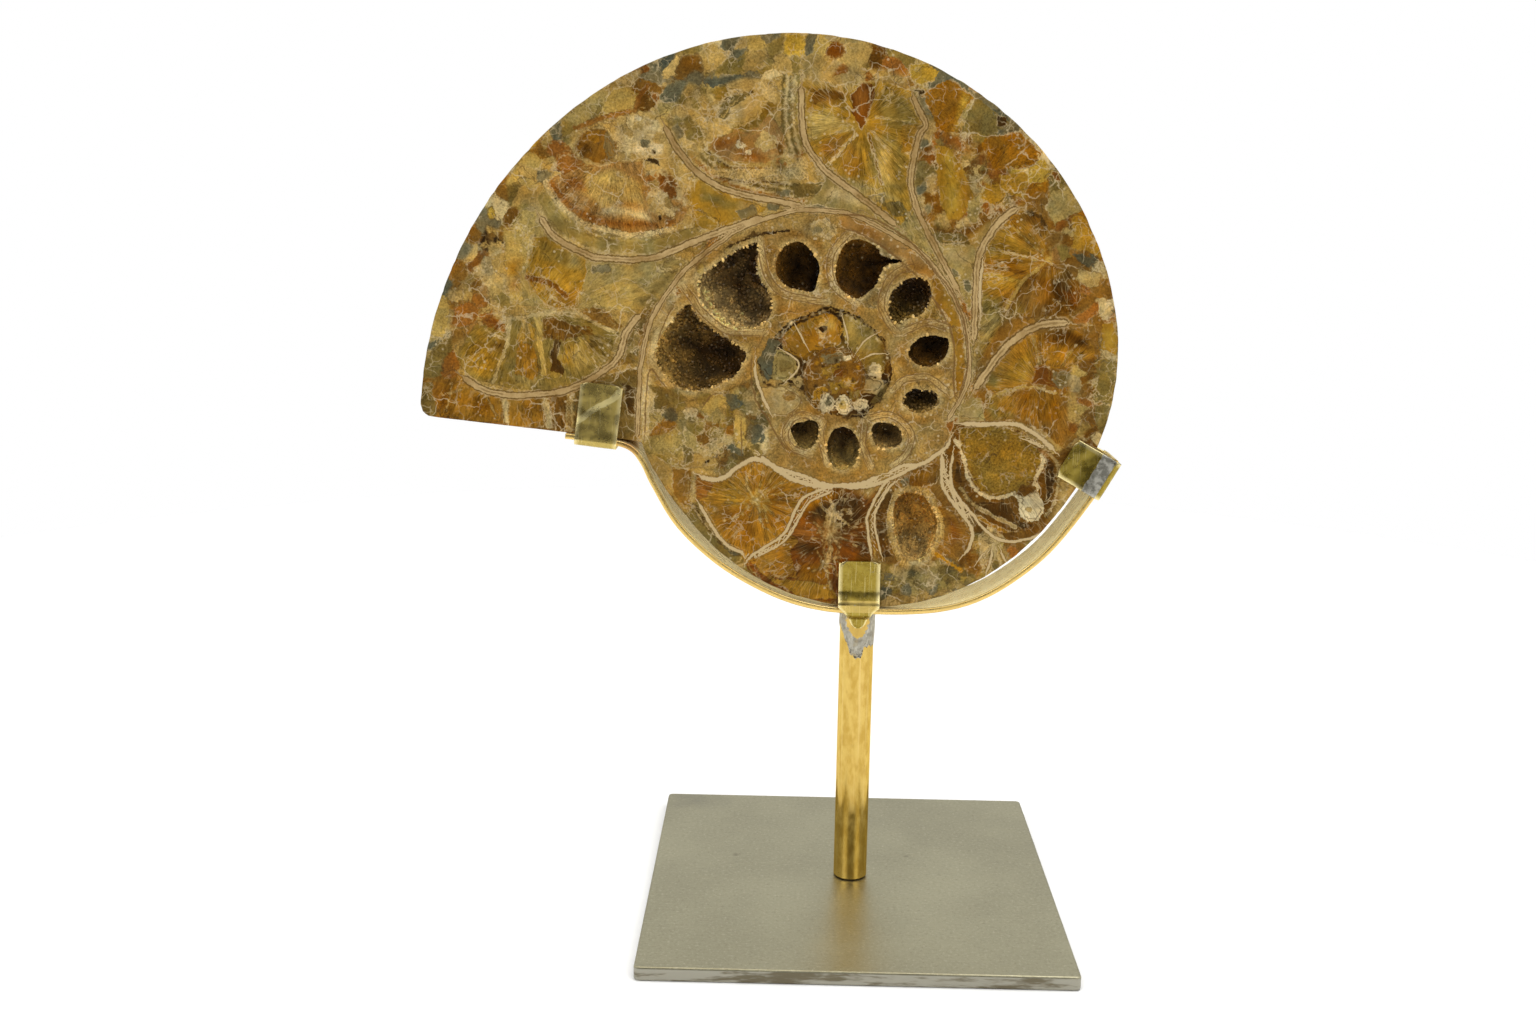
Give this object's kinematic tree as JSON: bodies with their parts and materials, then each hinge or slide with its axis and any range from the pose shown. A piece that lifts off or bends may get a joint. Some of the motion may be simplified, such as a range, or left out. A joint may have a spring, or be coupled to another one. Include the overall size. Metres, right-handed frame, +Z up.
{
  "type": "ammonite fossil half on a display stand",
  "caption": "Sawn and polished ammonite half with crystal-lined chambers, held upright in a bent brass cradle with clips on a brass post and a square steel base plate.",
  "frame": {"origin": "on the underside of the base plate, at the middle of the whole object's width and depth; the post stands 26.2 mm to its +X side", "axes": "+Z up, the fossil's sawn face looks along -Y, its sawn open end is towards -X"},
  "size_m": [0.1985, 0.12, 0.2493],
  "materials": {
    "calcite_fossil": "sawn and polished face of amber, brown and grey calcite with cream shell walls and open crystal-lined hollows; duller, ribbed natural shell behind",
    "cradle_brass": "satin flat bar, rubbed bright along its front edge, heat-tinted beside the solder",
    "clip_brass": "hand-rubbed satin strap, slightly dulled olive, with scratches",
    "post_brass": "polished round rod",
    "silver_solder": "run silver solder, uneven and grey",
    "base_steel": "satin sheet with fine grain, faint stains and scratches",
    "screw_steel": "plain zinc-plated screw"
  },
  "bodies": {
    "root": {"fossil_half": "calcite_fossil", "cradle": "cradle_brass", "clip_left": "clip_brass", "clip_right": "clip_brass", "clip_centre_front": "clip_brass", "clip_centre_back": "clip_brass", "post": "post_brass", "solder_collar": "silver_solder", "base_plate": "base_steel", "base_screw": "screw_steel"}
  },
  "joints": []
}
